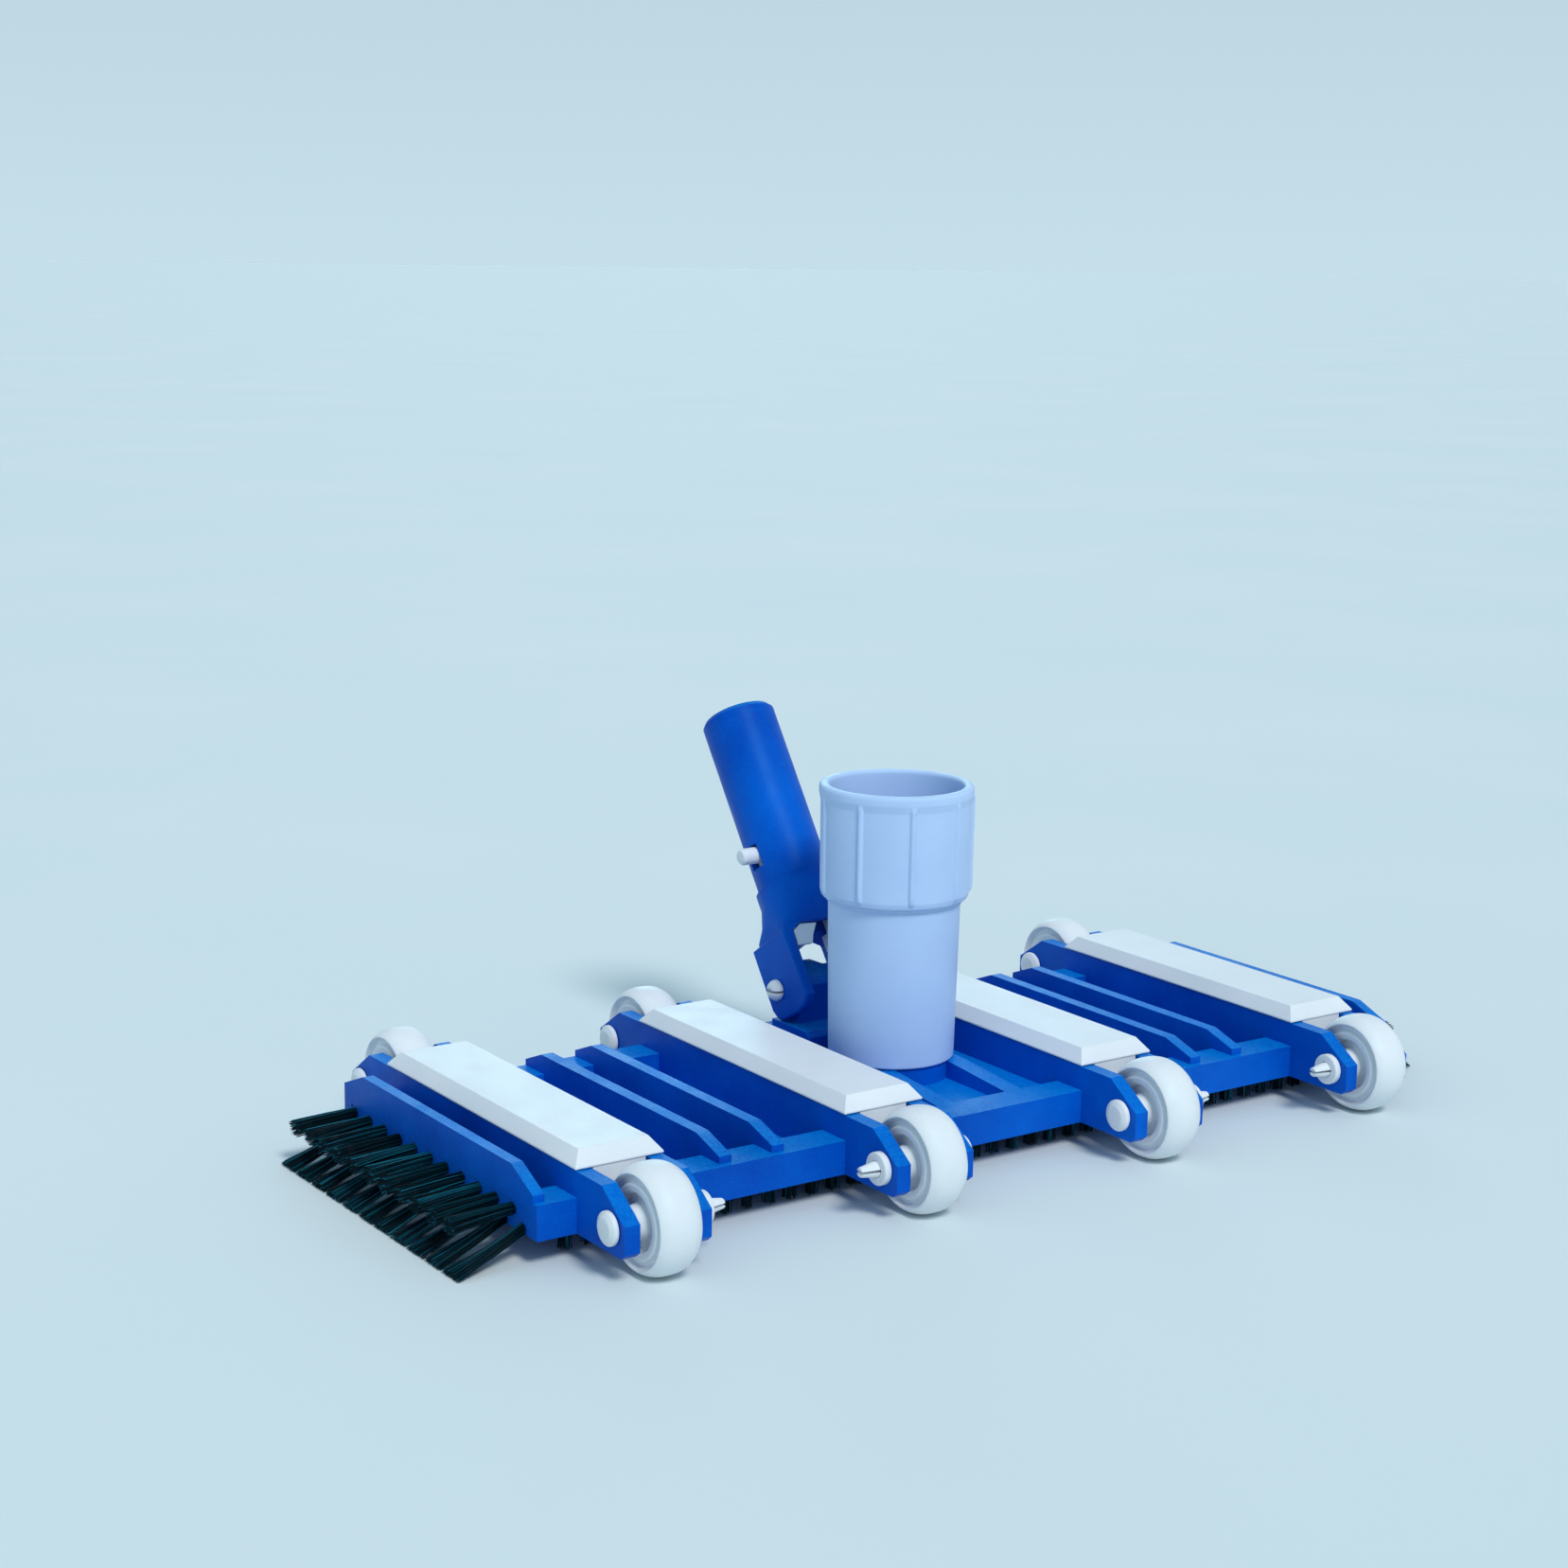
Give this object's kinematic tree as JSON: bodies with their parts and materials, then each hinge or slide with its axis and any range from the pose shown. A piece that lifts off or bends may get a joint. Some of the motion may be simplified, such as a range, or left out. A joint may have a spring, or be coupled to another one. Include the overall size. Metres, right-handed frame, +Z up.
{
  "type": "pool vacuum head",
  "caption": "Manual pool vacuum head: flexible blue base on wheels, capped white weight bars, brushes, swivelling hose cuff and tilting pole handle with a spring clip.",
  "frame": {"origin": "on the ground under the middle of the whole part's bounding box, handle included", "axes": "+X along the head's length, +Y away from the front border towards the handle's side, +Z up"},
  "size_m": [0.4098, 0.2112, 0.1366],
  "materials": {
    "blue": "moulded, satin",
    "white": "moulded, satin",
    "lilac": "moulded, satin",
    "bristle": "nylon bristle",
    "seal": "matt",
    "steel": "satin"
  },
  "bodies": {
    "base": {"base_moulding": "blue", "weight_cap_1": "white", "weight_cap_2": "white", "weight_cap_3": "white", "weight_cap_4": "white", "weight_bar_1": "steel", "weight_bar_2": "steel", "weight_bar_3": "steel", "weight_bar_4": "steel", "axle_front_1": "white", "axle_rear_1": "white", "axle_front_2": "white", "axle_rear_2": "white", "axle_front_3": "white", "axle_rear_3": "white", "axle_front_4": "white", "axle_rear_4": "white", "washer_front_1": "white", "washer_rear_1": "white", "washer_front_2": "white", "washer_rear_2": "white", "washer_front_3": "white", "washer_rear_3": "white", "washer_front_4": "white", "washer_rear_4": "white", "side_brush_left": "bristle", "side_brush_right": "bristle", "floor_brush_front": "bristle", "floor_brush_rear": "bristle", "hose_port": "blue", "port_seal": "seal", "cuff_sleeve": "lilac", "handle_bracket": "blue", "bracket_screw_left": "steel", "bracket_screw_right": "steel"},
    "wheel_front_1": {"wheel_front_1": "white"},
    "wheel_rear_1": {"wheel_rear_1": "white"},
    "wheel_front_2": {"wheel_front_2": "white"},
    "wheel_rear_2": {"wheel_rear_2": "white"},
    "wheel_front_3": {"wheel_front_3": "white"},
    "wheel_rear_3": {"wheel_rear_3": "white"},
    "wheel_front_4": {"wheel_front_4": "white"},
    "wheel_rear_4": {"wheel_rear_4": "white"},
    "collar": {"swivel_collar": "lilac", "swivel_ring": "lilac"},
    "handle": {"handle_fork": "blue", "pivot_pin": "white", "clip_bend": "white"},
    "clip_left": {"clip_leg_left": "white"},
    "clip_right": {"clip_leg_right": "white"}
  },
  "joints": [
    {"name": "wheel_front_1_spin", "type": "hinge", "parent": "base", "child": "wheel_front_1", "pos_m": [-0.15, -0.08948, 0.0174], "axis": [1, 0, 0], "continuous": true},
    {"name": "wheel_rear_1_spin", "type": "hinge", "parent": "base", "child": "wheel_rear_1", "pos_m": [-0.15, 0.07652, 0.0174], "axis": [1, 0, 0], "continuous": true},
    {"name": "wheel_front_2_spin", "type": "hinge", "parent": "base", "child": "wheel_front_2", "pos_m": [-0.05, -0.08948, 0.0174], "axis": [1, 0, 0], "continuous": true},
    {"name": "wheel_rear_2_spin", "type": "hinge", "parent": "base", "child": "wheel_rear_2", "pos_m": [-0.05, 0.07652, 0.0174], "axis": [1, 0, 0], "continuous": true},
    {"name": "wheel_front_3_spin", "type": "hinge", "parent": "base", "child": "wheel_front_3", "pos_m": [0.05, -0.08948, 0.0174], "axis": [1, 0, 0], "continuous": true},
    {"name": "wheel_rear_3_spin", "type": "hinge", "parent": "base", "child": "wheel_rear_3", "pos_m": [0.05, 0.07652, 0.0174], "axis": [1, 0, 0], "continuous": true},
    {"name": "wheel_front_4_spin", "type": "hinge", "parent": "base", "child": "wheel_front_4", "pos_m": [0.15, -0.08948, 0.0174], "axis": [1, 0, 0], "continuous": true},
    {"name": "wheel_rear_4_spin", "type": "hinge", "parent": "base", "child": "wheel_rear_4", "pos_m": [0.15, 0.07652, 0.0174], "axis": [1, 0, 0], "continuous": true},
    {"name": "collar_swivel", "type": "hinge", "parent": "base", "child": "collar", "pos_m": [0, -0.00648, 0.1004], "axis": [0, 0, 1], "continuous": true},
    {"name": "handle_tilt", "type": "hinge", "parent": "base", "child": "handle", "pos_m": [0, 0.03952, 0.0379], "axis": [-1, 0, 0], "range_deg": [-25, 45]},
    {"name": "clip_left_squeeze", "type": "hinge", "parent": "handle", "child": "clip_left", "pos_m": [-0.00245, 0.08758, 0.12047], "axis": [0, -0.8191, 0.5736], "range_deg": [0, 5.5], "stiffness_Nm_per_rad": 1, "springref_deg": -1.15},
    {"name": "clip_right_squeeze", "type": "hinge", "parent": "handle", "child": "clip_right", "pos_m": [0.00245, 0.08758, 0.12047], "axis": [0, 0.8191, -0.5736], "range_deg": [0, 5.5], "stiffness_Nm_per_rad": 1, "springref_deg": -1.15}
  ]
}
